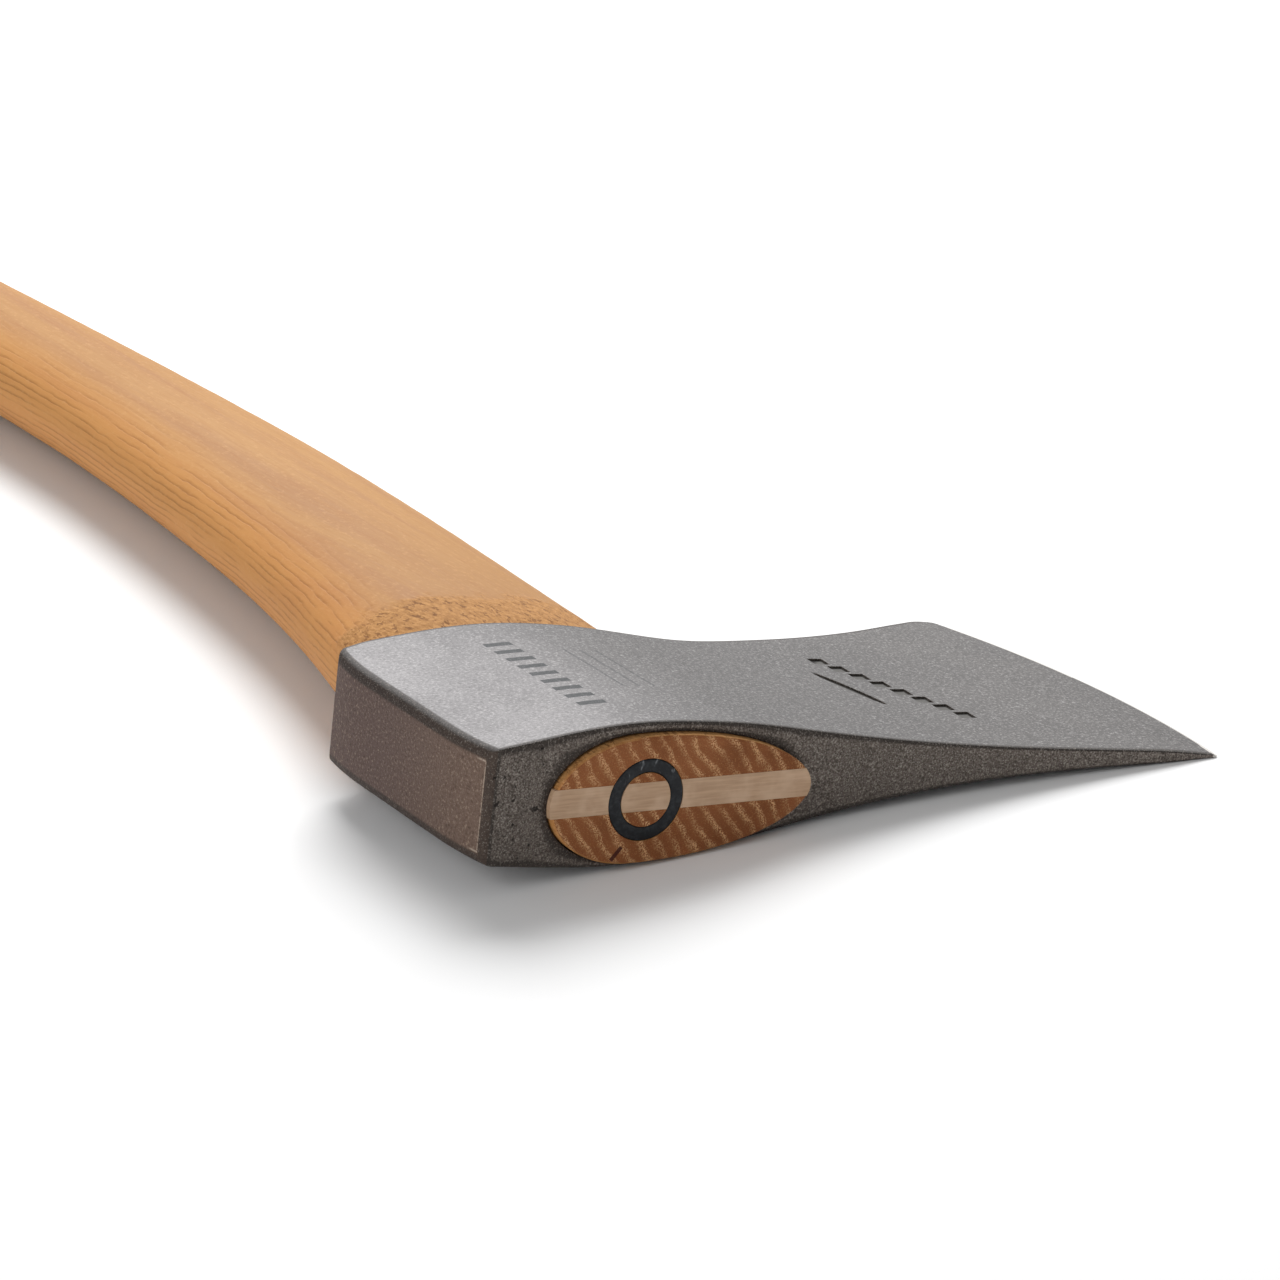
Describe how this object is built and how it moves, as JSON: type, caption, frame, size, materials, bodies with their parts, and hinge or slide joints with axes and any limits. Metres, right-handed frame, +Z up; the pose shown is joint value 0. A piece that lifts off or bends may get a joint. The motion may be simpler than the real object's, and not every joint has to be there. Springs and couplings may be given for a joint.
{
  "type": "splitting axe",
  "caption": "Forged single-bit splitting axe head on a long curved wooden handle, locked in its eye by a wooden wedge and a round steel wedge, lying on its side.",
  "frame": {"origin": "on the table under the middle of the axe's bounding box, the axe lying on one cheek and the toe of its bit", "axes": "+Y runs along the handle from the head's top to the knob, +X from the poll to the cutting edge, +Z up from the table; the head's mid-plane leans 6.3 degrees about Y, down towards the bit"},
  "size_m": [0.1947, 0.7304, 0.0346],
  "materials": {
    "forged_steel": "blasted and lightly ground forged steel, satin grey, browner on its unground sides",
    "hickory": "sanded hickory with an oiled, satin surface",
    "wedge_wood": "sawn pale hardwood, end cut flush",
    "black_steel": "blackened steel, satin"
  },
  "bodies": {
    "root": {"axe_head": "forged_steel", "handle": "hickory", "wood_wedge": "wedge_wood", "ring_wedge": "black_steel"}
  },
  "joints": []
}
